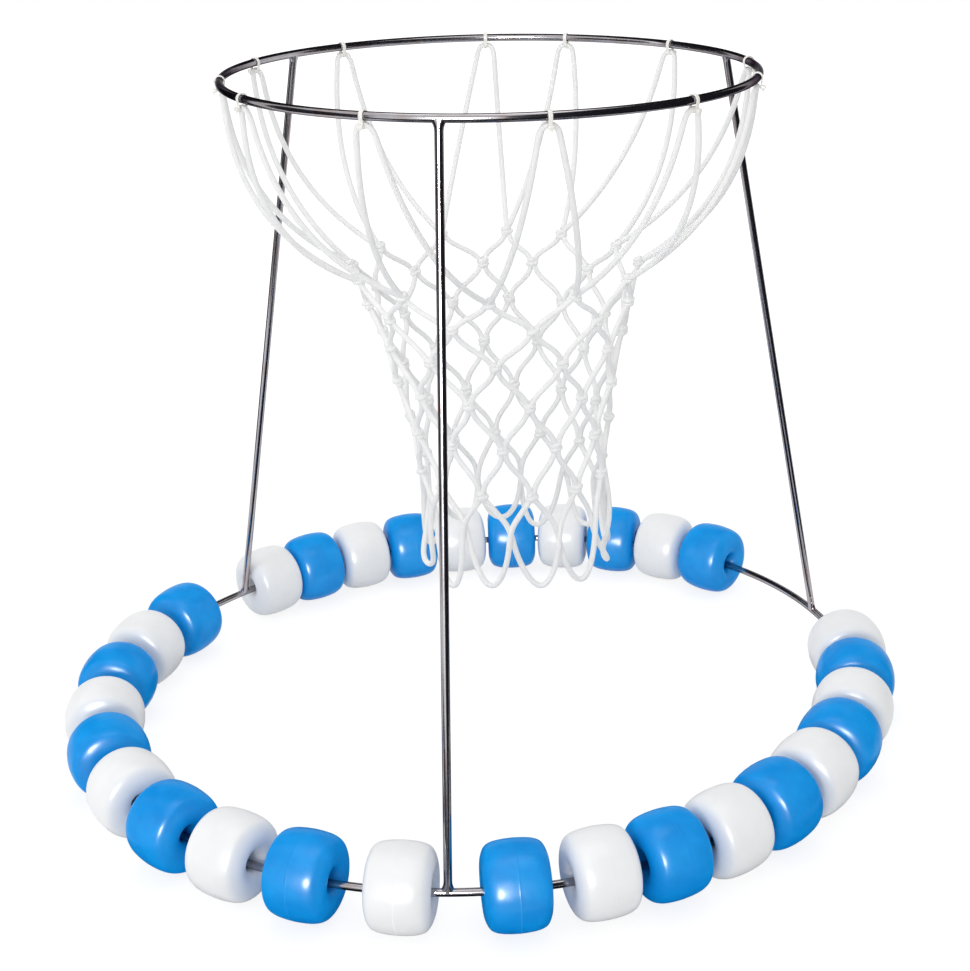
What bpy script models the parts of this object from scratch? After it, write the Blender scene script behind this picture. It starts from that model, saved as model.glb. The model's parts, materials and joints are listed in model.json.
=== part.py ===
"""A floating basketball hoop. A bright steel rim stands on three leaning rods over a larger
float ring, thirty bored barrel floats turn loose on that ring, and a knotted net hangs from
twelve straps on the rim. Metres, +Z up, the front leg towards -Y."""
import math

import bmesh
import bpy
from mathutils import Matrix, Vector

for old in list(bpy.data.objects):
    bpy.data.objects.remove(old, do_unlink=True)

# Driving dimensions of the steel frame
rod_r = 0.0035
rim_inside = 0.457
ring_r = 0.3608
ring_oval = 0.042
ring_oval_at = math.radians(28.4)
ring_lobe = 0.0107
ring_lobe_at = math.radians(79.3)
rim_rise = 0.5988
rim_slope = 0.0142
ring_shift = Vector((0.0031, 0.0011, 0.0))
rim_shift = ring_shift + Vector((0.0231, -0.0022, 0.0))
leg_top_at = {"front": -6.1, "left": -124.2, "right": 114.4}
leg_foot_at = {"front": -1.7, "left": -126.2, "right": 114.5}

# Driving dimensions of the floats
float_r = 0.038
float_len = 0.056
bore_r = 0.0075
floats_per_bay = 10
bay_lead = {"left": 0.02, "right": 0.18, "back": 0.0}
bay_second = {"left": 0.12, "right": 0.10, "back": 0.0}
bay_spread = {"left": 0.56, "right": 0.20, "back": 0.12}

# Driving dimensions of the net and its straps
cord_r = 0.0023
tie_at = (-176, -139, -109, -81, -55.5, -21, 14.3, 46.2, 77.2, 101.2, 135, 164)
tie_thick = 0.0012
tie_wide = 0.0033
head_out = 0.0030
tail_down = 0.0045
top_drop = 0.171
top_sag = 0.024
mesh_side = 0.0447
mesh_growth = 0.05
knot_rows = 6
cross_drop = 0.0314
net_top_r = 0.130
net_end_r = 0.0874
net_cross_r = 0.086
net_taper = 1.21
net_lean = Vector((0.0124, 0.0043, 0.0))
net_turn = math.radians(3.9)
row_twist = math.radians(-0.25)
bend_half = 0.0050
bend_wide = 0.0078
end_drop = 0.060
end_flare = 0.005

# Named clearances and facet counts
gap = 0.0003
weld_room = 0.0065
rim_steps = 60
ring_steps = 90
rod_sides = 8
float_sides = 16
cord_sides = 5
belt_steps = 5

# Values worked out from the dimensions above
rim_r = rim_inside / 2 + rod_r
float_flat = float_r * math.cos(math.pi / float_sides)
bore_flat = bore_r * math.cos(math.pi / float_sides)
bore_half = 0.8 * float_len / 2
rod_sag = bore_half ** 2 / (2 * ring_r)
float_seat = bore_flat - rod_r - gap
ring_z = float_flat - float_seat
rim_z = ring_z + rim_rise
ties = len(tie_at)


def material(name, colour, rough, metal=0.0):
    """A plain Principled material."""
    mat = bpy.data.materials.new(name)
    mat.use_nodes = True
    shader = mat.node_tree.nodes["Principled BSDF"]
    shader.inputs["Base Color"].default_value = (*colour, 1.0)
    shader.inputs["Roughness"].default_value = rough
    shader.inputs["Metallic"].default_value = metal
    return mat


def place(name, bm, mats, origin=None, smooth=True):
    """Turn a bmesh into an object whose origin is at the given point."""
    bmesh.ops.recalc_face_normals(bm, faces=bm.faces)
    if origin is not None:
        bmesh.ops.translate(bm, vec=-origin, verts=bm.verts)
    for face in bm.faces:
        face.smooth = smooth
    mesh = bpy.data.meshes.new(name)
    bm.to_mesh(mesh)
    bm.free()
    mesh.materials.append(mats)
    obj = bpy.data.objects.new(name, mesh)
    bpy.context.scene.collection.objects.link(obj)
    if origin is not None:
        obj.location = origin
    return obj


def ring_point(at, grow=0.0):
    """Point on the ring: r = ring_r (1 - oval cos 2(a - a0) - lobe cos 3(a - a1)), a from -Y to +X."""
    bend = ring_oval * math.cos(2 * (at - ring_oval_at)) + ring_lobe * math.cos(3 * (at - ring_lobe_at))
    r = ring_r * (1 - bend) + grow
    return ring_shift + Vector((r * math.sin(at), -r * math.cos(at), ring_z))


def ring_along(at):
    """Unit direction of the float ring at an angle."""
    step = 1e-4
    return (ring_point(at + step) - ring_point(at - step)).normalized()


def rim_point(at, r=rim_r, z=0.0):
    """Point round the rim's own centre, at a radius and a height above the rim's sloping plane."""
    x = r * math.sin(at)
    return rim_shift + Vector((x, -r * math.cos(at), rim_z + z - rim_slope * x))


def cross_rings(bm, path, radii, sides, closed, up):
    """One ring of vertices across the path at each of its points, kept square to it."""
    rings = []
    last = len(path) - 1
    for i, p in enumerate(path):
        if closed:
            along = path[(i + 1) % (last + 1)] - path[i - 1]
        else:
            along = path[min(i + 1, last)] - path[max(i - 1, 0)]
        along.normalize()
        side = along.cross(up).normalized()
        over = side.cross(along)
        turns = [2 * math.pi * (k + 0.5) / sides for k in range(sides)]
        rings.append([bm.verts.new(p + radii[i] * (side * math.cos(t) + over * math.sin(t)))
                      for t in turns])
    return rings


def skin(bm, rings, closed=False):
    """Quads between neighbouring rings of vertices."""
    last = len(rings) if closed else len(rings) - 1
    for i in range(last):
        low, high = rings[i], rings[(i + 1) % len(rings)]
        n = len(low)
        for k in range(n):
            bm.faces.new((low[k], low[(k + 1) % n], high[(k + 1) % n], high[k]))


def hoop(path, radius):
    """Closed rod along a flat loop of points."""
    bm = bmesh.new()
    radii = [radius] * len(path)
    rings = cross_rings(bm, path, radii, rod_sides, True, Vector((0, 0, 1)))
    skin(bm, rings, closed=True)
    return bm


# The two hoops of the frame, and a fatter cutter along each one for coping the leg ends
steel = material("polished_steel", (0.30, 0.29, 0.30), 0.18, 1.0)
rim_path = [rim_point(2 * math.pi * i / rim_steps) for i in range(rim_steps)]
ring_path = [ring_point(2 * math.pi * i / ring_steps) for i in range(ring_steps)]
place("rim_ring", hoop(rim_path, rod_r), steel)
place("base_ring", hoop(ring_path, rod_r), steel)
cutters = []
for name, path in (("cope_rim", rim_path), ("cope_base", ring_path)):
    cutter = place(name, hoop(path, rod_r + gap), steel)
    cutter.hide_render = True
    cutter.display_type = "WIRE"
    cutters.append(cutter)

# Legs: rods that flare into a weld fillet where they meet a hoop
for name in leg_top_at:
    top = rim_point(math.radians(leg_top_at[name]))
    foot = ring_point(math.radians(leg_foot_at[name]))
    along = (foot - top).normalized()
    flare = ((0.6, 1.6), (1.2, 1.45), (2.0, 1.15), (3.0, 1.0))
    path = [top + along * (s * rod_r) for s, _ in flare]
    path += [foot - along * (s * rod_r) for s, _ in reversed(flare)]
    radii = [w * rod_r for _, w in flare] + [w * rod_r for _, w in reversed(flare)]
    bm = bmesh.new()
    rings = cross_rings(bm, path, radii, rod_sides, False, Vector((0, 1, 0)))
    skin(bm, rings)
    bm.faces.new(rings[0])
    bm.faces.new(rings[-1])
    leg = place("leg_" + name, bm, steel)
    for cutter in cutters:
        cope = leg.modifiers.new(cutter.name, "BOOLEAN")
        cope.operation = "DIFFERENCE"
        cope.solver = "EXACT"
        cope.object = cutter

# Barrel float: its half profile is mirrored and spun round the bore
half = float_len / 2
side_profile = ((0.30, float_r), (0.72, 0.91 * float_r), (0.95, 0.72 * float_r),
                (1.00, 0.45 * float_r), (0.80, bore_r))
colours = (material("blue_plastic", (0.02, 0.29, 0.70), 0.32),
           material("white_plastic", (0.86, 0.86, 0.85), 0.35))


def barrel():
    """The float's profile about its own axis, along X."""
    bm = bmesh.new()
    outline = [(s * half, r) for s, r in side_profile]
    outline += [(-s * half, r) for s, r in reversed(side_profile)]
    turn = math.pi / float_sides
    verts = [bm.verts.new((x, r * math.sin(turn), r * math.cos(turn))) for x, r in outline]
    edges = [bm.edges.new((verts[i], verts[(i + 1) % len(verts)])) for i in range(len(verts))]
    bmesh.ops.spin(bm, geom=verts + edges, cent=(0, 0, 0), axis=(1, 0, 0), dvec=(0, 0, 0),
                   angle=2 * math.pi, steps=float_sides, use_merge=True, use_duplicate=False)
    bmesh.ops.remove_doubles(bm, verts=bm.verts, dist=1e-6)
    return bm


def touch_angle(at):
    """Turn between two floats whose inner end edges just clear, from the local curvature."""
    step = 0.02
    bend = ring_along(at + step).angle(ring_along(at - step)) / (2 * step)
    local = (ring_point(at + step) - ring_point(at - step)).length / (2 * step * bend)
    inner = local - side_profile[3][1]
    return 2 * math.atan((half + gap) / inner) / bend


def bay_angles(start, stop, name):
    """Angles of one bay's floats: touching pitch plus shares of the free arc."""
    sign = 1 if stop > start else -1
    clear = (weld_room + half) / ring_r
    free = abs(stop - start) - 2 * clear
    free -= sum(touch_angle(start + sign * (clear + free * k / floats_per_bay))
                for k in range(floats_per_bay - 1))
    at = start + sign * (clear + bay_lead[name] * free)
    found = [at]
    for k in range(1, floats_per_bay):
        share = bay_second[name] if k == 1 else bay_spread[name] / (floats_per_bay - 2)
        at += sign * (touch_angle(at) + share * free)
        found.append(at)
    return found


feet = {name: math.radians(at) for name, at in leg_foot_at.items()}
bays = {"left": (feet["front"], feet["left"]),
        "right": (feet["front"], feet["right"]),
        "back": (feet["left"], feet["right"] - 2 * math.pi)}
meshes = []
for colour in colours:
    bm = barrel()
    sample = place("sample", bm, colour)
    meshes.append(sample.data)
    bpy.data.objects.remove(sample, do_unlink=True)
for bay, (start, stop) in bays.items():
    odd = 0 if bay == "right" else 1
    for k, at in enumerate(bay_angles(start, stop, bay)):
        along = ring_along(at)
        inward = Vector((0, 0, 1)).cross(along)
        spot = ring_point(at) + Vector((0, 0, float_seat)) + inward * (rod_sag / 2)
        body = bpy.data.objects.new(f"float_{bay}_{k + 1:02d}", meshes[(k + odd) % 2])
        bpy.context.scene.collection.objects.link(body)
        turned = Matrix((along, inward, (0, 0, 1))).transposed().to_4x4()
        body.matrix_world = Matrix.Translation(spot) @ turned

# Straps: a belt round the rim rod and the net's cord, with a small head and a cut tail
nylon = material("white_strap", (0.85, 0.83, 0.77), 0.45)
cord_low = rod_r + gap + cord_r


def belt(grow):
    """Outline round the rod (0, 0) and the cord (0, -cord_low), out and up, both held off by grow."""
    tilt = math.asin((rod_r - cord_r) / cord_low)
    points = []
    for r, low, start, turn in ((rod_r, 0, -tilt, math.pi + 2 * tilt),
                                (cord_r, cord_low, math.pi + tilt, math.pi - 2 * tilt)):
        held = (r + grow) / math.cos(turn / (2 * belt_steps))
        for k in range(belt_steps + 1):
            t = start + turn * k / belt_steps
            points.append((held * math.cos(t), held * math.sin(t) - low))
    return points


def strap(at):
    """One strap square to the rim at an angle."""
    bm = bmesh.new()
    centre = rim_point(at)
    out = Vector((math.sin(at), -math.cos(at), 0))
    along = Vector((math.cos(at), math.sin(at), 0))
    rings = []
    for side, grow in ((-1, gap), (1, gap), (1, gap + tie_thick), (-1, gap + tie_thick)):
        shift = centre + along * (side * tie_wide / 2)
        rings.append([bm.verts.new(shift + out * x + Vector((0, 0, z))) for x, z in belt(grow)])
    skin(bm, rings, closed=True)
    bm.faces.ensure_lookup_table()
    bmesh.ops.recalc_face_normals(bm, faces=bm.faces)
    low = centre + out * (2 * rod_r) - Vector((0, 0, 2 * rod_r))
    head = min(bm.faces, key=lambda f: (f.calc_center_median() - low).length)
    grown = bmesh.ops.extrude_discrete_faces(bm, faces=[head])["faces"][0]
    bmesh.ops.translate(bm, vec=out * head_out, verts=grown.verts)
    bm.normal_update()
    foot = min((f for f in bm.faces if f.normal.z < -0.5), default=None,
               key=lambda f: (f.calc_center_median() - grown.calc_center_median()).length)
    tail = bmesh.ops.extrude_discrete_faces(bm, faces=[foot])["faces"][0]
    bmesh.ops.translate(bm, vec=Vector((0, 0, -tail_down)), verts=tail.verts)
    return bm


for k, at in enumerate(tie_at):
    place(f"tie_{k + 1:02d}", strap(math.radians(at)), nylon, smooth=False)


# Net: strands between knots, top loops under the rim, hanging loops at the end
white_cord = material("white_cord", (0.86, 0.86, 0.84), 0.75)
even_at = sum(tie_at) / ties + 180 / ties - 180
spot_at = [math.radians(at) for at in tie_at]
level_at = [math.radians(even_at + 360 * k / ties) for k in range(ties)]


def between(angles, k):
    """Angle midway between neighbour k and the next one round."""
    k %= ties
    lap = 2 * math.pi if k == ties - 1 else 0
    return (angles[k] + angles[(k + 1) % ties] + lap) / 2


def knot_ring_r(row):
    """Radius of a row: a taper over the knots, then the ring on which the hanging loops cross."""
    if row == knot_rows:
        return net_cross_r
    return net_end_r + (net_top_r - net_end_r) * (1 - row / (knot_rows - 1)) ** net_taper


def knot_drop(row):
    """Depth of a row below the rim. Every mesh side of a row has one length, growing row by row."""
    drop = top_drop
    for k in range(min(row, knot_rows - 1)):
        r, low = knot_ring_r(k), knot_ring_r(k + 1)
        across = (r + low) * math.sin(math.pi / (2 * ties))
        side = mesh_side * (1 + mesh_growth * k)
        drop += math.sqrt(side ** 2 - across ** 2 - (r - low) ** 2)
    return drop + (cross_drop if row == knot_rows else 0)


def knot_point(row, k):
    """Centre of a knot or a crossing. Even rows lie between the straps, odd rows below them."""
    tied = max(1 - row / 3, 0)
    if row % 2 == 0:
        at = tied * between(spot_at, k) + (1 - tied) * between(level_at, k)
    else:
        at = tied * spot_at[k] + (1 - tied) * level_at[k]
    at += net_turn + row_twist * row
    return rim_point(at, knot_ring_r(row), -knot_drop(row)) + net_lean * (row / knot_rows)


def top_path(k):
    """One top loop: up from a knot, under the rim inside its strap, down to the next knot."""
    at = spot_at[k]
    out = Vector((math.sin(at), -math.cos(at), 0))
    along = Vector((math.cos(at), math.sin(at), 0))
    tied = rim_point(at) - Vector((0, 0, cord_low))
    sides = []
    for sign, knot in ((-1, knot_point(0, k - 1)), (1, knot_point(0, k))):
        start = tied + along * (sign * bend_wide) - out * cord_r - Vector((0, 0, 3 * cord_r))
        chord = knot - start
        bow = (out - chord * (out.dot(chord) / chord.length_squared)).normalized()
        hang = [start + chord * t + bow * (4 * top_sag * t * (1 - t)) for t in (0.0, 0.28, 0.62)]
        turn = tied + along * (sign * bend_wide * 0.94) - Vector((0, 0, 0.6 * cord_r))
        sides.append([tied + along * (sign * bend_half), turn] + hang + [knot])
    return list(reversed(sides[0])) + sides[1]


def end_path(k):
    """One hanging loop below the last knots, from its crossing with one neighbour to the other."""
    a, b = knot_point(knot_rows, k - 1), knot_point(knot_rows, k)
    out = a + b - 2 * rim_shift
    fall = Vector((out.x, out.y, 0)).normalized() * end_flare - Vector((0, 0, end_drop))
    steps = (0.0, 0.16, 0.36, 0.64, 0.84, 1.0)
    depth = (0.0, 0.62, 0.96, 0.96, 0.62, 0.0)
    return [a.lerp(b, t) + fall * d for t, d in zip(steps, depth)]


def net():
    """The whole net as one skin: a hull at each knot or crossing, joined to its strands."""
    bm = bmesh.new()
    strands = [((0, (k - 1) % ties), (0, k), top_path(k)) for k in range(ties)]
    last = knot_rows
    strands += [((last, (k - 1) % ties), (last, k), end_path(k)) for k in range(ties)]
    for row in range(last):
        for k in range(ties):
            for step in ((0, 1) if row % 2 == 0 else (0, -1)):
                low = (k + step) % ties
                path = [knot_point(row, k), knot_point(row + 1, low)]
                strands.append(((row, k), (row + 1, low), path))
    leaving = {}
    for a, b, path in strands:
        leaving.setdefault(a, []).append((path[1] - path[0]).normalized())
        leaving.setdefault(b, []).append((path[-2] - path[-1]).normalized())
    reach = {}
    for key, ways in leaving.items():
        least = min(ways[i].angle(ways[j]) for i in range(4) for j in range(i))
        reach[key] = 1.1 * cord_r / math.tan(least / 2) + 2 * gap
    mouths = {key: [] for key in leaving}
    for a, b, path in strands:
        start, stop = path[0], path[-1]
        path[0] = start + (path[1] - start).normalized() * reach[a]
        path[-1] = stop + (path[-2] - stop).normalized() * reach[b]
        middle = (path[0] + path[-1]) / 2 - rim_shift
        up = Vector((middle.x, middle.y, 0)).normalized()
        rings = cross_rings(bm, path, [cord_r] * len(path), cord_sides, False, up)
        skin(bm, rings)
        mouths[a].append(rings[0])
        mouths[b].append(rings[-1])
    for key, rings in mouths.items():
        centre = knot_point(*key)
        face = centre - rim_shift
        face = Vector((face.x, face.y, 0)).normalized()
        bumps = [bm.verts.new(centre + face * (s * 1.5 * cord_r)) for s in (-1, 1)]
        inside = [v for ring in rings for v in ring] + bumps
        hull = bmesh.ops.convex_hull(bm, input=inside)["geom"]
        caps = [f for f in hull if isinstance(f, bmesh.types.BMFace)
                and any(set(f.verts) <= set(ring) for ring in rings)]
        bmesh.ops.delete(bm, geom=caps, context="FACES")
    return bm


place("net", net(), white_cord)
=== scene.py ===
"""Looks of the floating basketball hoop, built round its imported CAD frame."""
import json
import math

import bpy
import numpy as np
from mathutils import Matrix, Vector


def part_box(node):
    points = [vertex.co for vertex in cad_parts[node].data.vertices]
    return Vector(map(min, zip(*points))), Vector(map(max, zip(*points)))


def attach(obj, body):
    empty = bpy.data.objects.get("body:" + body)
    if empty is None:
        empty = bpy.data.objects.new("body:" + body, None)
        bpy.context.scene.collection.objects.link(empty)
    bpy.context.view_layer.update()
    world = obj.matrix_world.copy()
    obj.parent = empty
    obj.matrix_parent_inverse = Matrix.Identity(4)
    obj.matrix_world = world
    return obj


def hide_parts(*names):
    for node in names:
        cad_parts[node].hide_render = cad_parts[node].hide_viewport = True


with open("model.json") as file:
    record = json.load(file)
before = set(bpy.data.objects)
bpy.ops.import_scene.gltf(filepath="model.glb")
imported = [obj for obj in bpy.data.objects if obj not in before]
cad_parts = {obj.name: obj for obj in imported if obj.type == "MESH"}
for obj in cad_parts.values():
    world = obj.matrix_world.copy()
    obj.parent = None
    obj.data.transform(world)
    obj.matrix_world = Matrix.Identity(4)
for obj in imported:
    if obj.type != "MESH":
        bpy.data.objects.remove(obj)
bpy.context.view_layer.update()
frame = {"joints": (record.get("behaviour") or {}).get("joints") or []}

# The studio: a camera a metre and a half in front of the hoop and a little above its rim, a
# white floor and soft white light from all round. Weak lamps in front, on the left and above
# give it shape, and a glint lamp that only gloss sees puts the highlights on the plastic.
picture = 970
focal_px = 1680.4
camera = bpy.data.objects.new("camera", bpy.data.cameras.new("camera"))
bpy.context.scene.collection.objects.link(camera)
camera.data.sensor_fit = "HORIZONTAL"
camera.data.sensor_width = 36.0
camera.data.lens = focal_px / picture * camera.data.sensor_width
camera_at = Vector((0.1142, -1.4846, 0.8454))
yaw, pitch, roll = math.radians(-4.03), math.radians(21.97), math.radians(-2.09)
ahead = Vector((math.sin(yaw) * math.cos(pitch), math.cos(yaw) * math.cos(pitch), -math.sin(pitch)))
level = Vector((math.cos(yaw), -math.sin(yaw), 0.0))
over = level.cross(ahead)
right = level * math.cos(roll) + over * math.sin(roll)
above = over * math.cos(roll) - level * math.sin(roll)
stand = Matrix((right, above, -ahead)).transposed().to_4x4()
stand.translation = camera_at
camera.matrix_world = stand
bpy.context.scene.camera = camera
bpy.context.scene.view_settings.view_transform = "Standard"


def linear(code):
    """sRGB hex to linear RGBA: below 0.04045 divided by 12.92, above it a 2.4 power."""
    c = np.array([int(code[k:k + 2], 16) for k in (1, 3, 5)]) / 255
    c = np.where(c <= 0.04045, c / 12.92, ((c + 0.055) / 1.055) ** 2.4)
    return (*c.tolist(), 1.0)


def add(tree, kind, sockets=None, **settings):
    """One node. Its own settings come by keyword, its sockets as values or outputs to link."""
    made = tree.nodes.new(kind)
    for key, value in settings.items():
        setattr(made, key, value)
    for key, value in (sockets or {}).items():
        if isinstance(value, bpy.types.NodeSocket):
            tree.links.new(value, made.inputs[key])
        else:
            made.inputs[key].default_value = value
    return made


def seen_directly(tree):
    """1 on camera, glossy and transmission rays, 0 on the rays that light a surface."""
    rays = add(tree, "ShaderNodeLightPath").outputs
    first = add(tree, "ShaderNodeMath", {0: rays["Is Camera Ray"], 1: rays["Is Glossy Ray"]}, operation="MAXIMUM")
    return add(tree, "ShaderNodeMath", {0: first.outputs[0], 1: rays["Is Transmission Ray"]},
               operation="MAXIMUM").outputs[0]


room_light = 0.76
world = bpy.data.worlds.new("studio")
bpy.context.scene.world = world
world.use_nodes = True
sky = world.node_tree
sky.nodes.clear()
sky_level = add(sky, "ShaderNodeMapRange", {"Value": seen_directly(sky), "To Min": room_light, "To Max": 1.0})
sky_light = add(sky, "ShaderNodeBackground", {"Color": (1, 1, 1, 1), "Strength": sky_level.outputs[0]})
add(sky, "ShaderNodeOutputWorld", {"Surface": sky_light.outputs[0]})

# The floor is paper, lit and shadowed round the hoop, that gives way to plain white farther out
half_floor, floor_z = 6.0, -0.0009
fade_from, fade_to, white_near, white_far, paper_glow = 0.5, 1.3, 0.66, 0.96, 1.24
floor_mesh = bpy.data.meshes.new("floor")
floor_mesh.from_pydata([(x * half_floor, y * half_floor, floor_z) for x, y in ((-1, -1), (1, -1), (1, 1), (-1, 1))],
                       [], [(0, 1, 2, 3)])
floor = bpy.data.objects.new("floor", floor_mesh)
bpy.context.scene.collection.objects.link(floor)
floor_paper = bpy.data.materials.new("white_studio_paper")
floor_paper.use_nodes = True
paper = floor_paper.node_tree
paper.nodes.clear()
paper_spot = add(paper, "ShaderNodeTexCoord").outputs["Object"]
paper_far = add(paper, "ShaderNodeVectorMath", {0: paper_spot}, operation="LENGTH")
paper_share = add(paper, "ShaderNodeMapRange", {"Value": paper_far.outputs["Value"], "From Min": fade_from,
                                                "From Max": fade_to, "To Min": white_near, "To Max": white_far})
paper_part = add(paper, "ShaderNodeMath", {0: seen_directly(paper), 1: paper_share.outputs[0]}, operation="MULTIPLY")
paper_mix = add(paper, "ShaderNodeMixShader", {
    "Fac": paper_part.outputs[0],
    1: add(paper, "ShaderNodeBsdfDiffuse", {"Color": linear("#e4e4e4")}).outputs[0],
    2: add(paper, "ShaderNodeEmission", {"Color": (1, 1, 1, 1), "Strength": paper_glow}).outputs[0]})
add(paper, "ShaderNodeOutputMaterial", {"Surface": paper_mix.outputs[0]})
floor_mesh.materials.append(floor_paper)

lamps_aim = Vector((0, 0, 0.25))
for name, spot, width, watts, glint_only in (("front_lamp", (-0.50, -3.30, 1.00), 0.85, 20.0, False),
                                             ("glint_lamp", (-0.50, -3.32, 1.00), 0.85, 190.0, True),
                                             ("left_lamp", (-2.60, -0.90, 1.30), 1.40, 10.0, False),
                                             ("top_lamp", (0.00, 0.20, 2.60), 1.60, 8.0, False)):
    lamp = bpy.data.lights.new(name, "AREA")
    lamp.shape = "SQUARE"
    lamp.size = width
    lamp.energy = watts
    hung = bpy.data.objects.new(name, lamp)
    hung.location = spot
    hung.rotation_euler = (Vector(spot) - lamps_aim).to_track_quat("Z", "Y").to_euler()
    hung.visible_diffuse = not glint_only
    bpy.context.scene.collection.objects.link(hung)

# Dark screens beside and above the hoop and low in front of it and inside its ring. Only
# reflections see them. They give the bright rods a dark band and keep the plastic deep.
screen_felt = bpy.data.materials.new("black_felt")
screen_felt.use_nodes = True
felt = screen_felt.node_tree
felt.nodes.clear()
add(felt, "ShaderNodeOutputMaterial", {
    "Surface": add(felt, "ShaderNodeBsdfDiffuse", {"Color": linear("#2a2b31")}).outputs[0]})
for name, corners in (
        ("right_screen", ((0.24, -1.35, 0), (0.60, 0.25, 0), (0.60, 0.25, 1.5), (0.24, -1.35, 1.5))),
        ("left_screen", ((-1.10, 1.30, 0), (-0.78, 0.10, 0), (-0.78, 0.10, 1.5), (-1.10, 1.30, 1.5))),
        ("low_right_screen", ((0.06, -0.5, 0), (0.9, -0.5, 0), (0.9, -1.05, 0.46), (0.06, -1.05, 0.46))),
        ("floor_screen", ((-0.9, -1.25, 0.01), (0.1, -1.25, 0.01), (0.1, -0.48, 0.01), (-0.9, -0.48, 0.01))),
        ("inner_screen", ((-0.33, -0.44, 0.005), (0.40, -0.44, 0.005), (0.40, 0.10, 0.005), (-0.33, 0.10, 0.005))),
        ("front_left_screen", ((-0.70, -0.85, 0.15), (-0.85, -0.05, 0.15), (-0.85, -0.05, 1.1), (-0.70, -0.85, 1.1))),
        ("top_screen", ((-1.0, 0.1, 1.3), (1.0, 0.1, 1.3), (1.0, 2.0, 1.3), (-1.0, 2.0, 1.3)))):
    screen_mesh = bpy.data.meshes.new(name)
    screen_mesh.from_pydata(corners, [], [(0, 1, 2, 3)])
    screen_mesh.materials.append(screen_felt)
    screen = bpy.data.objects.new(name, screen_mesh)
    screen.visible_camera = screen.visible_diffuse = screen.visible_shadow = screen.visible_transmission = False
    bpy.context.scene.collection.objects.link(screen)

# The rim and the float ring: 7 mm bright drawn steel rod, bent to a loop and butt welded.
# The rim is round, 457 mm inside, and leans a little to the right; the ring is pulled oval.
rod_r = 0.0035
rim_r = 0.457 / 2 + rod_r
rim_slope = 0.0142
rim_mid = np.array((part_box("rim_ring")[0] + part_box("rim_ring")[1]) / 2)
ring_mid = np.array([0.0031, 0.0011, (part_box("base_ring")[0].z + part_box("base_ring")[1].z) / 2])
ring_r, ring_oval, ring_oval_at = 0.3608, 0.042, math.radians(28.4)
ring_lobe, ring_lobe_at = 0.0107, math.radians(79.3)


def unit(v):
    """Vectors divided by their length."""
    return v / np.linalg.norm(v, axis=-1, keepdims=True)


def rounded(x, power):
    """sign(x) |x|^power."""
    return np.sign(x) * np.abs(x) ** power


def rim_loop(at, r=rim_r, drop=0.0):
    """Point round the rim's centre, (r sin a, -r cos a), at a drop below its sloping plane."""
    at, drop = np.broadcast_arrays(np.asarray(at, float), drop)
    x = r * np.sin(at)
    return rim_mid + np.stack([x, -r * np.cos(at), -drop - rim_slope * x], -1)


def ring_loop(at):
    """Point on the float ring: r = R (1 - e cos 2(a - a0) - l cos 3(a - a1)) round its centre."""
    at = np.asarray(at, float)
    r = ring_r * (1 - ring_oval * np.cos(2 * (at - ring_oval_at)) - ring_lobe * np.cos(3 * (at - ring_lobe_at)))
    return ring_mid + np.stack([r * np.sin(at), -r * np.cos(at), np.zeros_like(at)], -1)


def along_path(path, looped):
    """Unit tangents by central differences, one-sided at the ends of an open path."""
    if looped:
        return unit(np.roll(path, -1, -2) - np.roll(path, 1, -2))
    return unit(np.gradient(path, axis=-2))


def section(wide, thick, sides, power=1.0):
    """Cross-section: wide |cos t|^power by thick |sin t|^power, an oval at 1, a bar near 0.4."""
    t = 2 * np.pi * (np.arange(sides) + 0.5) / sides
    wide, thick = np.asarray(wide, float)[..., None], np.asarray(thick, float)[..., None]
    return np.stack([wide * rounded(np.cos(t), power), thick * rounded(np.sin(t), power)], -1)


def tube(path, profile, up, looped=False):
    """A section carried along a path: p + x side + y over, side = tangent x up and
    over = side x tangent. Paths (..., m, 3) go all at once with sections (..., n, 2)."""
    tangent = along_path(path, looped)
    side = unit(np.cross(tangent, up))
    over = np.cross(side, tangent)
    return path[..., None, :] + profile[..., :1] * side[..., None, :] + profile[..., 1:] * over[..., None, :]


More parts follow.
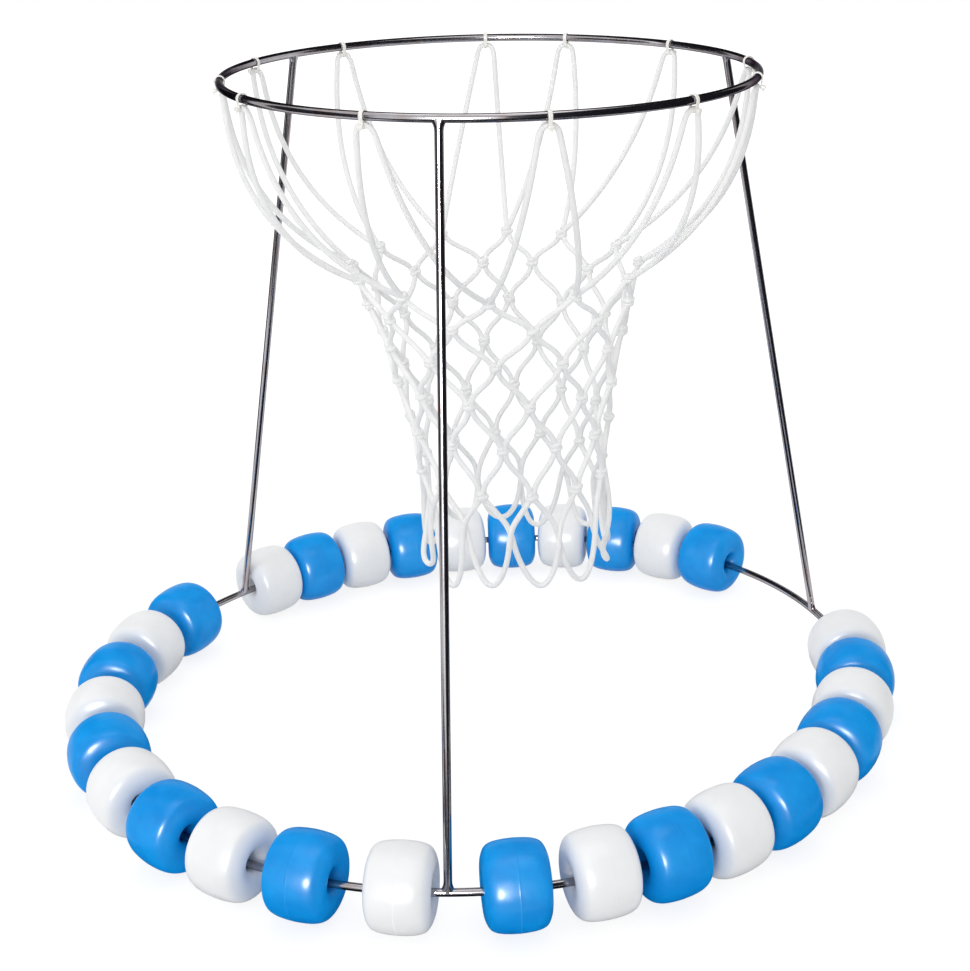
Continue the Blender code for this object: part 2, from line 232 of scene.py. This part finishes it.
def shells_to_piece(name, shells):
    """One object from closed-round shells. Each is (rings (m, n, 3), looped): neighbours in the
    grid make quads, open ends are capped, and the UV map holds metres along and turns round."""
    verts, quads, caps, coords, cap_coords = [], [], [], [], []
    base = 0
    for rings, looped in shells:
        m, n, _ = rings.shape
        flat = rings.reshape(-1, 3)
        i = np.arange(m if looped else m - 1)[:, None]
        j = np.arange(n)[None, :]
        corner = [i * n + j, i * n + (j + 1) % n, (i + 1) % m * n + (j + 1) % n, (i + 1) % m * n + j]
        face = np.stack(np.broadcast_arrays(*corner), -1).reshape(-1, 4)
        mid = rings.mean(1)
        run = np.concatenate([[0], np.cumsum(np.linalg.norm(np.roll(mid, -1, 0) - mid, axis=1))])
        u0, u1 = np.broadcast_to(run[i], (i.size, n)), np.broadcast_to(run[i + 1], (i.size, n))
        v0, v1 = np.broadcast_to(j / n, u0.shape), np.broadcast_to((j + 1) / n, u0.shape)
        uv = np.stack([np.stack([u0, v0], -1), np.stack([u0, v1], -1), np.stack([u1, v1], -1),
                       np.stack([u1, v0], -1)], -2).reshape(-1, 4, 2)
        p = flat[face]
        swept = np.einsum("fi,fi->f", p[:, 0], np.cross(p[:, 1], p[:, 2]) + np.cross(p[:, 2], p[:, 3])).sum()
        ends = [] if looped else [np.arange(n)[::-1], (m - 1) * n + np.arange(n)]
        if swept < 0:
            face, uv = face[:, ::-1], uv[:, ::-1]
            ends = [e[::-1] for e in ends]
        verts.append(flat)
        quads.append(face + base)
        coords.append(uv.reshape(-1, 2))
        caps += [e + base for e in ends]
        cap_coords += [np.tile([run[0 if k == 0 else m - 1], 0.5], (n, 1)) for k in range(len(ends))]
        base += m * n
    mesh = bpy.data.meshes.new(name)
    mesh.from_pydata(np.concatenate(verts), [], np.concatenate(quads).tolist() + [c.tolist() for c in caps])
    lay = mesh.uv_layers.new(name="lay")
    lay.data.foreach_set("uv", np.concatenate(coords + cap_coords).ravel())
    mesh.polygons.foreach_set("use_smooth", [True] * len(mesh.polygons))
    mesh.validate()
    piece = bpy.data.objects.new(name, mesh)
    bpy.context.scene.collection.objects.link(piece)
    return piece


def settle(piece, material, body, node):
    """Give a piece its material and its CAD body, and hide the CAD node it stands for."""
    piece.data.materials.append(material)
    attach(piece, body)
    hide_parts(node)


def blank(name):
    """An empty node material with its Principled shader wired to the output."""
    made = bpy.data.materials.new(name)
    made.use_nodes = True
    tree = made.node_tree
    tree.nodes.clear()
    shader = add(tree, "ShaderNodeBsdfPrincipled")
    add(tree, "ShaderNodeOutputMaterial", {"Surface": shader.outputs[0]})
    return made, tree, shader


def feed(tree, shader, **links):
    """Link outputs into the shader's sockets, named with underscores for spaces."""
    for key, value in links.items():
        tree.links.new(value, shader.inputs[key.replace("_", " ")])


draw_line, streaks_per_m, groove_deep, tarnish_patch = 0.0004, 6.0, 0.00003, 0.045


def drawn_steel(name, edge):
    """Drawn steel rod: lines 0.4 mm apart run along it from the die and pull its reflections
    into streaks, and 45 mm patches of tarnish shift its colour. The edge colour is a painted
    reflection at a low angle: dark gives the rod painted dark edges, pale gives it painted pale flanks."""
    made, tree, skin = blank(name)
    rod_lay = add(tree, "ShaderNodeUVMap", uv_map="lay").outputs["UV"]
    lines_map = add(tree, "ShaderNodeMapping", {
        "Vector": rod_lay, "Scale": (streaks_per_m, 2 * math.pi * rod_r / draw_line, 1)})
    lines = add(tree, "ShaderNodeTexNoise", {"Vector": lines_map.outputs[0], "Scale": 1.0, "Detail": 3.0})
    spot = add(tree, "ShaderNodeTexCoord").outputs["Object"]
    tarnish = add(tree, "ShaderNodeTexNoise", {"Vector": spot, "Scale": 1 / tarnish_patch, "Detail": 4.0,
                                               "Roughness": 0.6})
    hue = add(tree, "ShaderNodeValToRGB", {"Fac": tarnish.outputs["Fac"]})
    for at, code in ((0.36, "#a39c9d"), (0.52, "#aeacb1"), (0.66, "#a89b9b")):
        hue.color_ramp.elements.new(at).color = linear(code)
    hue.color_ramp.elements.remove(hue.color_ramp.elements[0])
    hue.color_ramp.elements.remove(hue.color_ramp.elements[-1])
    dull = add(tree, "ShaderNodeMapRange", {"Value": lines.outputs["Fac"], "To Min": 0.08, "To Max": 0.22})
    grooves = add(tree, "ShaderNodeBump", {"Height": lines.outputs["Fac"], "Strength": 0.25,
                                           "Distance": groove_deep})
    skin.inputs["Metallic"].default_value = 1.0
    skin.inputs["Specular Tint"].default_value = linear(edge)
    feed(tree, skin, Base_Color=hue.outputs["Color"], Roughness=dull.outputs[0], Normal=grooves.outputs[0])
    return made


# Painted reflection: the dark edge colour gives the loops and the front leg dark edges, and the pale one gives the two
# legs behind pale flanks
dark_edged_steel = drawn_steel("drawn_steel_dark_edges", "#4c4b50")
pale_edged_steel = drawn_steel("drawn_steel_pale_edges", "#d0d0d4")

loop_steps, loop_sides = 420, 20
turn = 2 * np.pi * np.arange(loop_steps) / loop_steps
upright = np.array([0.0, 0.0, 1.0])
for node, path in (("rim_ring", rim_loop(turn)), ("base_ring", ring_loop(turn))):
    rod = tube(path, section(rod_r, rod_r, loop_sides), upright, True)
    settle(shells_to_piece(node + "_rod", [(rod, True)]), dark_edged_steel, "frame", node)

# Legs: the same rod cut straight, its ends notched over the loops and welded all round.
# The weld spreads along the loop in a smooth fillet, about twice the rod's width. The front
# leg has the loops' painted dark edges, and the two behind have painted pale flanks.
leg_top_at = {"front": -6.1, "left": -124.2, "right": 114.4}
leg_foot_at = {"front": -1.7, "left": -126.2, "right": 114.5}
fillet_long, fillet_wide, fillet_power = 0.0105, 0.0044, 2.4
weld_steps, weld_crowd, straight_steps, leg_sides, small_turn = 16, 1.4, 120, 24, 0.01


def leg_rings(top, foot, top_way, foot_way):
    """Rod from loop to loop. Near an end its section widens along that loop by
    w (1 - s / L)^power, s from the end, and keeps the rod's thickness across it."""
    run = np.linalg.norm(foot - top)
    near = fillet_long * np.linspace(0, 1, weld_steps) ** weld_crowd
    straight = np.linspace(fillet_long, run - fillet_long, straight_steps)[1:-1]
    s = np.concatenate([near, straight, run - near[::-1]])
    down = unit(foot - top)
    path = top + s[:, None] * down
    blend = (s / run)[:, None]
    way = unit((1 - blend) * top_way + blend * foot_way)
    edge = np.minimum(s, run - s)
    spread = fillet_wide * np.clip(1 - edge / fillet_long, 0, 1) ** fillet_power
    return tube(path, section(np.full_like(s, rod_r), rod_r + spread, leg_sides), way)


for side in leg_top_at:
    at_top, at_foot = math.radians(leg_top_at[side]), math.radians(leg_foot_at[side])
    top, foot = rim_loop(at_top), ring_loop(at_foot)
    top_way = unit(rim_loop(at_top + small_turn) - rim_loop(at_top - small_turn))
    foot_way = unit(ring_loop(at_foot + small_turn) - ring_loop(at_foot - small_turn))
    rings = leg_rings(top, foot, top_way, foot_way)
    finish = dark_edged_steel if side == "front" else pale_edged_steel
    settle(shells_to_piece(f"leg_{side}_rod", [(rings, False)]), finish, "frame", f"leg_{side}")

# Floats: blow-moulded polyethylene barrels, 76 mm by 56 mm, with a rolled-in mouth at each
# end of a 15 mm bore and a thin ridge round the middle where the mould halves met.
float_profile = np.array([(0.0, 38.0), (5.0, 37.9), (10.0, 37.5), (15.0, 36.8), (18.9, 35.7), (22.2, 34.0),
                          (24.4, 31.5), (26.0, 28.3), (27.2, 24.5), (27.7, 20.5), (27.3, 17.0), (26.0, 13.8),
                          (23.6, 11.2), (20.0, 9.3), (14.0, 8.1), (7.0, 7.65), (0.0, 7.6)]) / 1000
seam_high, seam_half = 0.00011, 0.0006
belly_r, belly_half, mouth_r, barrel_steps = 0.038, 0.002, 0.03, 80


def through(points, n):
    """Smooth curve through points: Catmull-Rom cubics, n steps a span, ends repeated."""
    p = np.concatenate([points[:1], points, points[-1:]])
    a, b, c, d = p[:-3, None], p[1:-2, None], p[2:-1, None], p[3:, None]
    t = (np.arange(n) / n)[None, :, None]
    q = 0.5 * (2 * b + (c - a) * t + (2 * a - 5 * b + 4 * c - d) * t ** 2 + (3 * b - a - 3 * c + d) * t ** 3)
    return np.concatenate([q.reshape(-1, points.shape[1]), points[-1:]])


half_side = through(float_profile, 4)
ridge = np.array([0.0, 0.2, 0.45, 0.7, 1.0, 1.6]) / 1000
belly = np.stack([ridge, np.full_like(ridge, belly_r)], -1)
half_side = np.concatenate([belly, half_side[half_side[:, 0] > belly_half]])
half_side[:, 1] += seam_high * np.exp(-(half_side[:, 0] / seam_half) ** 2) * (half_side[:, 1] > mouth_r)
whole_side = np.concatenate([half_side, (half_side * [-1, 1])[::-1]])


def plastic(name, dark, light, scuffed):
    """Blown polyethylene: 30 mm clouds of colour, 22 mm hollows and 1.5 mm pores in the skin,
    and 0.9 mm scuffs drawn out sixteen times their width. Its gloss fades towards the edges,
    so they reflect little and stay dark: painted shade at the outlines."""
    made, tree, skin = blank(name)
    spot = add(tree, "ShaderNodeTexCoord").outputs["Object"]
    cloud = add(tree, "ShaderNodeTexNoise", {"Vector": spot, "Scale": 1000 / 30, "Detail": 3.0, "Roughness": 0.55})
    hue = add(tree, "ShaderNodeValToRGB", {"Fac": cloud.outputs["Fac"]})
    hue.color_ramp.elements[0].position, hue.color_ramp.elements[0].color = 0.35, linear(dark)
    hue.color_ramp.elements[1].position, hue.color_ramp.elements[1].color = 0.65, linear(light)
    stretch = add(tree, "ShaderNodeMapping", {"Vector": spot, "Rotation": (0.7, 0.4, 0.9), "Scale": (1.0, 1.0, 0.06)})
    scratch = add(tree, "ShaderNodeTexNoise", {"Vector": stretch.outputs[0], "Scale": 1000 / 0.9, "Detail": 2.0})
    scuffs = add(tree, "ShaderNodeMapRange", {"Value": scratch.outputs["Fac"], "From Min": 0.66, "From Max": 0.80,
                                              "To Min": 0.0, "To Max": 0.35})
    worn = add(tree, "ShaderNodeMixRGB", {"Fac": scuffs.outputs[0], "Color1": hue.outputs["Color"],
                                          "Color2": linear(scuffed)})
    hollow = add(tree, "ShaderNodeTexNoise", {"Vector": spot, "Scale": 1000 / 22, "Detail": 1.0})
    pores = add(tree, "ShaderNodeTexNoise", {"Vector": spot, "Scale": 1000 / 1.5, "Detail": 2.0})
    fine = add(tree, "ShaderNodeBump", {"Height": pores.outputs["Fac"], "Strength": 0.08, "Distance": 0.0002})
    slow = add(tree, "ShaderNodeBump", {"Height": hollow.outputs["Fac"], "Strength": 0.5, "Distance": 0.0016,
                                        "Normal": fine.outputs[0]})
    dull = add(tree, "ShaderNodeMapRange", {"Value": cloud.outputs["Fac"], "To Min": 0.26, "To Max": 0.36})
    # Painted shade: the gloss is cut towards the edges so that the outlines stay dark
    edge = add(tree, "ShaderNodeLayerWeight", {"Blend": 0.5})
    sheen_left = add(tree, "ShaderNodeMapRange", {"Value": edge.outputs["Facing"], "From Min": 0.08, "From Max": 0.50,
                                                  "To Min": 0.40, "To Max": 0.05})
    skin.inputs["IOR"].default_value = 1.54
    feed(tree, skin, Base_Color=worn.outputs[0], Roughness=dull.outputs[0], Normal=slow.outputs[0],
         Specular_IOR_Level=sheen_left.outputs[0])
    return made


blue = plastic("blue_blown_polyethylene", "#008fe3", "#049cef", "#5fb0ee")
white = plastic("white_blown_polyethylene", "#f1f2f3", "#f5f6f7", "#e2e3e3")
round_turn = 2 * np.pi * np.arange(barrel_steps) / barrel_steps
# White and blue by turns: the left and back bays begin with a white float, the right with a blue
for joint in frame["joints"]:
    node = joint["child"]
    axle = unit(np.array(joint["axis"], float))
    outward = unit(np.cross(axle, upright))
    lift = np.cross(outward, axle)
    number = int(node[-2:])
    is_white = (number % 2 == 1) != node.startswith("float_right")
    barrel = (np.array(joint["pos_m"]) + whole_side[:, None, :1] * axle
              + whole_side[:, None, 1:] * (outward * np.cos(round_turn)[:, None] + lift * np.sin(round_turn)[:, None]))
    piece = shells_to_piece(node + "_barrel", [(barrel, True)])
    settle(piece, white if is_white else blue, node, node)

# Straps: twelve nylon cable ties, 3.4 mm wide and 1.2 mm thick, each drawn tight round the
# rim and the net's cord below it, with its ratchet head low on the outside and a cut tail.
cord_r = 0.0023
clear = 0.0003
cord_low = rod_r + clear + cord_r
tie_wide, tie_thick, bar_power = 0.0034, 0.0012, 0.45
head_out, head_low, head_halves = 0.0050, 0.0078, (0.0021, 0.0017, 0.0023)
tail_long, tail_wide, tail_thick, tail_below, tail_lean = 0.0024, 0.0027, 0.0010, 0.001, 0.0004


def belt_loop(steps):
    """Centre line of the strap in (out, up): an arc over the rod, a straight side, an arc under
    the cord and a straight side back, held off both by the clearance and half its thickness."""
    tilt = math.asin((rod_r - cord_r) / cord_low)
    high = np.linspace(-tilt, math.pi + tilt, steps)
    low = np.linspace(math.pi + tilt, 2 * math.pi - tilt, steps)
    held = clear + tie_thick / 2
    top = (rod_r + held) * np.stack([np.cos(high), np.sin(high)], -1)
    base = (cord_r + held) * np.stack([np.cos(low), np.sin(low)], -1) - [0, cord_low]
    t = np.linspace(0, 1, 8)[1:-1, None]
    return np.concatenate([top, top[-1] + (base[0] - top[-1]) * t, base, base[-1] + (top[0] - base[-1]) * t])


def block(centre, axes, halves, power=0.35, across=14, around=24):
    """Rounded block: a superellipsoid, cos and sin raised to a small power along three axes."""
    u = np.linspace(-0.49, 0.49, across)[:, None] * np.pi
    v = 2 * np.pi * (np.arange(around)[None, :] + 0.5) / around
    ring = rounded(np.cos(u), power)
    ball = np.stack([ring * rounded(np.cos(v), power), ring * rounded(np.sin(v), power),
                     rounded(np.sin(u), power) * np.ones_like(v)], -1)
    return centre + (ball * halves) @ axes


nylon, nylon_tree, nylon_skin = blank("moulded_white_nylon")
nylon_spot = add(nylon_tree, "ShaderNodeTexCoord").outputs["Object"]
nylon_cloud = add(nylon_tree, "ShaderNodeTexNoise", {"Vector": nylon_spot, "Scale": 1000 / 6, "Detail": 3.0})
nylon_hue = add(nylon_tree, "ShaderNodeMixRGB", {"Fac": nylon_cloud.outputs["Fac"], "Color1": linear("#eeece5"),
                                                 "Color2": linear("#f6f5f1")})
nylon_grain = add(nylon_tree, "ShaderNodeTexNoise", {"Vector": nylon_spot, "Scale": 1000 / 0.5, "Detail": 2.0})
nylon_bump = add(nylon_tree, "ShaderNodeBump", {"Height": nylon_grain.outputs["Fac"], "Strength": 0.2,
                                                "Distance": 0.00008})
nylon_dull = add(nylon_tree, "ShaderNodeMapRange", {"Value": nylon_cloud.outputs["Fac"], "To Min": 0.36,
                                                    "To Max": 0.5})
nylon_skin.inputs["IOR"].default_value = 1.53
feed(nylon_tree, nylon_skin, Base_Color=nylon_hue.outputs[0], Roughness=nylon_dull.outputs[0],
     Normal=nylon_bump.outputs[0])

tie_boxes = [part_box(f"tie_{k:02d}") for k in range(1, 13)]
tie_at = np.array([math.atan2(low.x + high.x - 2 * rim_mid[0], 2 * rim_mid[1] - low.y - high.y)
                   for low, high in tie_boxes])
belt = belt_loop(22)
for k, at in enumerate(tie_at):
    centre = rim_loop(at)
    out, along = np.array([math.sin(at), -math.cos(at), 0.0]), np.array([math.cos(at), math.sin(at), 0.0])
    strip = tube(centre + belt[:, :1] * out + belt[:, 1:] * upright,
                 section(tie_thick / 2, tie_wide / 2, 16, bar_power), along, True)
    head = block(centre + head_out * out - head_low * upright, np.stack([out, upright, along]), head_halves)
    fall = np.linspace(0, 1, 12)[:, None]
    tail_path = centre + (head_out + tail_lean * fall) * out - (head_low + tail_below + tail_long * fall) * upright
    tail = tube(tail_path, section(tail_thick / 2, tail_wide / 2, 14, bar_power), along)
    settle(shells_to_piece(f"strap_{k + 1:02d}", [(strip, True), (head, False), (tail, False)]), nylon, "frame",
           f"tie_{k + 1:02d}")

# The net: soft braided nylon cord, 5.3 mm thick and pinched to 4.6 mm under the straps, hung
# in twelve loops and knotted into five rows of meshes. The last loops cross and hang free.
full_r = 0.00265
top_drop, mesh_side, mesh_growth, cross_drop = 0.171, 0.0447, 0.05, 0.0314
knot_rows, ties = 6, 12
net_top_r, net_end_r, net_cross_r, net_taper = 0.130, 0.0874, 0.086, 1.21
net_lean = np.array([0.0124, 0.0043, 0.0])
net_turn, row_twist = math.radians(3.9), math.radians(-0.25)
top_sag, top_sway, bend_wide = 0.024, 0.0035, 0.0078
knot_side, side_slack, side_pull = 0.0014, 0.0008, 0.0028
end_drop, end_drop_spread, end_flare, end_sway = 0.060, 0.06, 0.005, 0.004
end_narrow, end_twist, end_round, cross_off = (0.10, 0.42), 0.007, 0.7, 1.05 * full_r
level_row, under_power, top_passes, end_passes, cord_sides, knot_sides = 3, 0.8, 6, 8, 12, 10
top_steps, bend_steps, side_steps, end_steps, cross_steps = 68, 12, 21, 64, 14
chance = np.random.default_rng(12)
level_at = tie_at.mean() + math.pi / ties - math.pi + 2 * np.pi * np.arange(ties) / ties


def between(angles):
    """Angle midway between each strap and the next one round."""
    after = np.roll(angles, -1)
    after[-1] += 2 * np.pi
    return (angles + after) / 2


def net_row(row):
    """Knots of a row, or the crossings after the last: r tapers as (1 - row / last)^taper and the
    drop adds sqrt(side^2 - across^2 - dr^2) a row, its mesh sides growing by a share a row."""
    taper = np.clip(1 - np.arange(knot_rows) / (knot_rows - 1), 0, 1) ** net_taper
    r = np.append(net_end_r + (net_top_r - net_end_r) * taper, net_cross_r)
    side = mesh_side * (1 + mesh_growth * np.arange(knot_rows - 1))
    across = (r[:-2] + r[1:-1]) * math.sin(math.pi / (2 * ties))
    fall = np.sqrt(side ** 2 - across ** 2 - (r[:-2] - r[1:-1]) ** 2)
    drop = np.append(np.concatenate([[0], np.cumsum(fall)]), fall.sum() + cross_drop) + top_drop
    tied = max(1 - row / level_row, 0)
    pick = between if row % 2 == 0 else np.array
    at = tied * pick(tie_at) + (1 - tied) * pick(level_at) + net_turn + row_twist * row
    return rim_loop(at, r[row], drop[row]) + net_lean * (row / knot_rows)


def eased(path, passes):
    """Path smoothed by averaging each inner point with its neighbours, ends kept."""
    path = path.copy()
    for _ in range(passes):
        path[..., 1:-1, :] = (path[..., :-2, :] + 2 * path[..., 1:-1, :] + path[..., 2:, :]) / 4
    return path


def lerp(a, b, t):
    """a + (b - a) t for points (k, 3) and steps (m,), as paths (k, m, 3)."""
    t = np.asarray(t)[None, :, None]
    return a[:, None, :] * (1 - t) + b[:, None, :] * t


rows = [net_row(row) for row in range(knot_rows + 1)]
net_axis = np.array([rim_mid + net_lean * (row / knot_rows) for row in range(knot_rows + 1)])
outs = [unit((row - axis) * [1, 1, 0]) for row, axis in zip(rows, net_axis)]
rounds = [np.cross(upright, out) for out in outs]
cords = []

# Top loops: a chord from knot to strap bowed outward by 4 s t (1 - t), and a half oval under the rim
spot = rim_loop(tie_at) - cord_low * upright
spot_out = np.stack([np.sin(tie_at), -np.cos(tie_at), np.zeros(ties)], -1)
spot_along = np.cross(upright, spot_out)
sway = chance.normal(0, 1, (2, ties)) * top_sway
sides = []
for sign, knot in ((-1, np.roll(rows[0], 1, 0)), (1, rows[0])):
    start = spot + sign * bend_wide * spot_along - cord_r * spot_out - 3 * cord_r * upright
    chord = knot - start
    bow = unit(spot_out - chord * ((spot_out * chord).sum(1) / (chord ** 2).sum(1))[:, None])
    t = np.linspace(0, 1, top_steps)
    swell = (4 * t * (1 - t))[None, :, None]
    sides.append(lerp(start, knot, t) + swell * (top_sag + sway[(sign + 1) // 2][:, None, None]) * bow[:, None, :])
turn_t = np.linspace(0, math.pi, bend_steps)[1:-1]
bend = (spot[:, None, :] - bend_wide * np.cos(turn_t)[None, :, None] * spot_along[:, None, :]
        - (cord_r * (1 - np.sin(turn_t)))[None, :, None] * spot_out[:, None, :]
        - (3 * cord_r * (1 - np.sin(turn_t) ** under_power))[None, :, None] * upright)
cords += list(eased(np.concatenate([sides[0][:, ::-1], bend, sides[1]], 1), top_passes))

# Mesh sides: from the side of one knot to the side of the next, swung by p sin 2 pi t so that
# they leave each knot along the net, with a little slack
for row in range(knot_rows - 1):
    for step in (0, 1 if row % 2 == 0 else -1):
        low = np.roll(rows[row + 1], -step, 0)
        hand = 1 if step == (row + 1) % 2 else -1
        a = rows[row] + hand * knot_side * rounds[row]
        b = low - hand * knot_side * np.roll(rounds[row + 1], -step, 0)
        t = np.linspace(0, 1, side_steps)
        slack = (chance.normal(0, side_slack, (ties, 1, 1)) * outs[row][:, None, :]
                 + chance.normal(0, side_slack, (ties, 1, 1)) * upright)
        pull = -hand * (np.sin(2 * np.pi * t) * side_pull)[None, :, None]
        path = lerp(a, b, t) + pull * rounds[row][:, None, :] + np.sin(np.pi * t)[None, :, None] * slack
        cords += list(path)

# Hanging loops: knot, crossing, a U deep as sin(u)^0.7 and (1 - cos u (1 - n sin u)) / 2 of the
# way across, which narrows it, turned a little out of line by cos u sin^2 u, crossing, knot
crossed, crossed_out = rows[knot_rows], outs[knot_rows]
left = np.roll(crossed, 1, 0)
under = unit((left + crossed - 2 * net_axis[knot_rows]) * [1, 1, 0])
depth = end_drop * (1 + chance.normal(0, end_drop_spread, ties))
u = np.linspace(0, math.pi, end_steps)
fall = -depth[:, None] * upright + end_flare * under + chance.normal(0, end_sway, (ties, 1)) * np.cross(upright, under)
inner, outer = left - cross_off * np.roll(crossed_out, 1, 0), crossed + cross_off * crossed_out
narrow, twist = chance.uniform(*end_narrow, (ties, 1)), chance.normal(0, end_twist, (ties, 1))
share = (1 - np.cos(u) * (1 - narrow * np.sin(u))) / 2
swing = (twist * np.cos(u) * np.sin(u) ** 2)[..., None] * under[:, None, :]
loop = (inner[:, None, :] + (outer - inner)[:, None, :] * share[..., None] + swing
        + (np.sin(u) ** end_round)[None, :, None] * fall[:, None, :])
t = np.linspace(0, 1, cross_steps)[:-1]
start, stop = np.roll(rows[knot_rows - 1], 1, 0), np.roll(rows[knot_rows - 1], -1, 0)
ends = [lerp(start, inner, t), lerp(outer, stop, 1 - t[::-1])]
cords += list(eased(np.concatenate([ends[0], loop, ends[1]], 1), end_passes))

# Knots: the cords pass side by side through a coil of nearly two turns, its ends tucked in
turns, coil_steps, coil_pitch = 1.8, 40, 0.0040
coil_wide, coil_thick, coil_cord = 0.0037, 0.0031, 0.93 * full_r
coil_tilt, coil_lean, tuck_share, tuck_power = 0.18, 0.15, 0.10, 0.6
s = np.linspace(0, 1, coil_steps)
tuck = np.clip(np.minimum(s, 1 - s) / tuck_share, 0, 1) ** tuck_power
spin = 2 * np.pi * turns * s
knots = []
for row in range(knot_rows):
    begin = chance.uniform(0, 2 * np.pi, ties)[:, None] + spin
    tilt = chance.normal(0, coil_tilt, (ties, 1))
    axis = -upright + tilt * rounds[row] - coil_lean * outs[row]
    coil = (rows[row][:, None, :] + (coil_wide * tuck * np.cos(begin))[..., None] * rounds[row][:, None, :]
            + (coil_thick * tuck * np.sin(begin))[..., None] * outs[row][:, None, :]
            + (turns * coil_pitch * (s - 0.5))[None, :, None] * unit(axis)[:, None, :])
    knots += list(coil)

# Cords to one mesh. The first twelve are the top loops, pinched under their straps by the share
# exp(-(d / L)^2), d from the strap
pinch_long = 0.012
knot_section = section(coil_cord, coil_cord, knot_sides)
shells = []
for k, path in enumerate(cords):
    away_from_strap = np.linalg.norm(path - spot[k], axis=1) if k < ties else np.full(len(path), np.inf)
    thick = full_r - (full_r - cord_r) * np.exp(-(away_from_strap / pinch_long) ** 2)
    away = unit(path.mean(0) * [1, 1, 0] - rim_mid * [1, 1, 0])
    shells.append((tube(path, section(thick, thick, cord_sides), away), False))
shells += [(tube(path, knot_section, upright), False) for path in knots]
net_piece = shells_to_piece("net_cord", shells)

cord, cord_tree, cord_skin = blank("braided_white_nylon")
cord_lay = add(cord_tree, "ShaderNodeSeparateXYZ",
               {"Vector": add(cord_tree, "ShaderNodeUVMap", uv_map="lay").outputs["UV"]}).outputs
# Braid of sixteen yarns: crossing bands 2.2 mm long, eight of them round the cord
braid_long, braid_round = 0.0044, 8
ways = []
for hand in (1, -1):
    run = add(cord_tree, "ShaderNodeMath", {0: cord_lay["X"], 1: 2 * math.pi / braid_long}, operation="MULTIPLY")
    slant = add(cord_tree, "ShaderNodeMath", {0: cord_lay["Y"], 1: hand * math.pi * braid_round, 2: run.outputs[0]},
                operation="MULTIPLY_ADD")
    ways.append(add(cord_tree, "ShaderNodeMath", {0: slant.outputs[0]}, operation="SINE").outputs[0])
plait = add(cord_tree, "ShaderNodeMath", {0: ways[0], 1: ways[1]}, operation="MULTIPLY")
cord_spot = add(cord_tree, "ShaderNodeTexCoord").outputs["Object"]
soil = add(cord_tree, "ShaderNodeTexNoise", {"Vector": cord_spot, "Scale": 1000 / 25, "Detail": 4.0})
cord_hue = add(cord_tree, "ShaderNodeMixRGB", {"Fac": soil.outputs["Fac"], "Color1": linear("#efefee"),
                                               "Color2": linear("#f8f8f8")})
# Painted shade: the gaps between the yarns are darkened towards grey #a9a8a2
yarn_gap_shade = add(cord_tree, "ShaderNodeMapRange", {"Value": plait.outputs[0], "From Min": -1.0, "From Max": 0.2,
                                             "To Min": 0.06, "To Max": 0.0})
cord_shade = add(cord_tree, "ShaderNodeMixRGB", {"Fac": yarn_gap_shade.outputs[0], "Color1": cord_hue.outputs[0],
                                                 "Color2": linear("#a9a8a2")})
cord_bump = add(cord_tree, "ShaderNodeBump", {"Height": plait.outputs[0], "Strength": 0.3, "Distance": 0.0002})
cord_skin.inputs["Roughness"].default_value = 0.72
cord_skin.inputs["Sheen Weight"].default_value = 0.15
cord_skin.inputs["Specular IOR Level"].default_value = 0.3
feed(cord_tree, cord_skin, Base_Color=cord_shade.outputs[0], Normal=cord_bump.outputs[0])
settle(net_piece, cord, "frame", "net")
